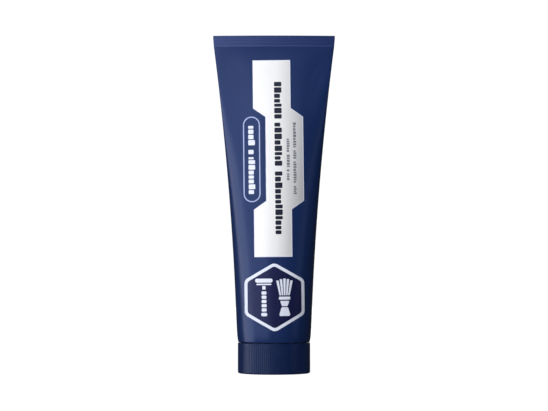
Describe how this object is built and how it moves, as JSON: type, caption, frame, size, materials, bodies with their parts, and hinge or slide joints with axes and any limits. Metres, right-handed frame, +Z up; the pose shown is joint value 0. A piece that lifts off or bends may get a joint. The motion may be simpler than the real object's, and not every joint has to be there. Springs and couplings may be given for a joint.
{
  "type": "shaving cream tube",
  "caption": "Filled squeeze tube with a flat end seal, a round shoulder and threaded neck, standing on a wide ribbed screw cap.",
  "frame": {"origin": "middle of the cap's closed end, on the face the tube stands on", "axes": "+Z up along the tube's axis towards the flat seal, X along the seal, -Y towards the printed front"},
  "size_m": [0.0616, 0.0368, 0.17],
  "materials": {
    "navy_laminate": "satin lacquer over printed laminate",
    "navy_cap": "moulded polypropylene, fine vertical ribs",
    "white_plastic": "moulded polyethylene",
    "barrier_plastic": "pressed barrier laminate",
    "foil": "heat-sealed foil, slightly wrinkled",
    "cream": "smooth wet cream",
    "foam_liner": "foamed polyethylene sheet",
    "silver_print": "pearl white to silver print",
    "white_print": "white print",
    "dark_print": "near-black blue print"
  },
  "bodies": {
    "cap": {"screw_cap": "navy_cap"},
    "liner": {"cap_liner": "foam_liner"},
    "tube": {"tube_sleeve": "navy_laminate", "tube_head": "white_plastic", "barrier_insert": "barrier_plastic", "orifice_seal": "foil", "cream_fill": "cream"}
  },
  "joints": [
    {"name": "cap_turn", "type": "hinge", "parent": "cap", "child": "liner", "pos_m": [0, 0, 0.0021], "axis": [0, 0, 1], "range_deg": [0, 720]},
    {"name": "tube_lift", "type": "slide", "parent": "liner", "child": "tube", "axis": [0, 0, 1], "range_m": [0, 0.006]}
  ],
  "couplings": [
    {"joint": "tube_lift", "follows": "cap_turn", "m_per_rad": 0.00047746}
  ]
}
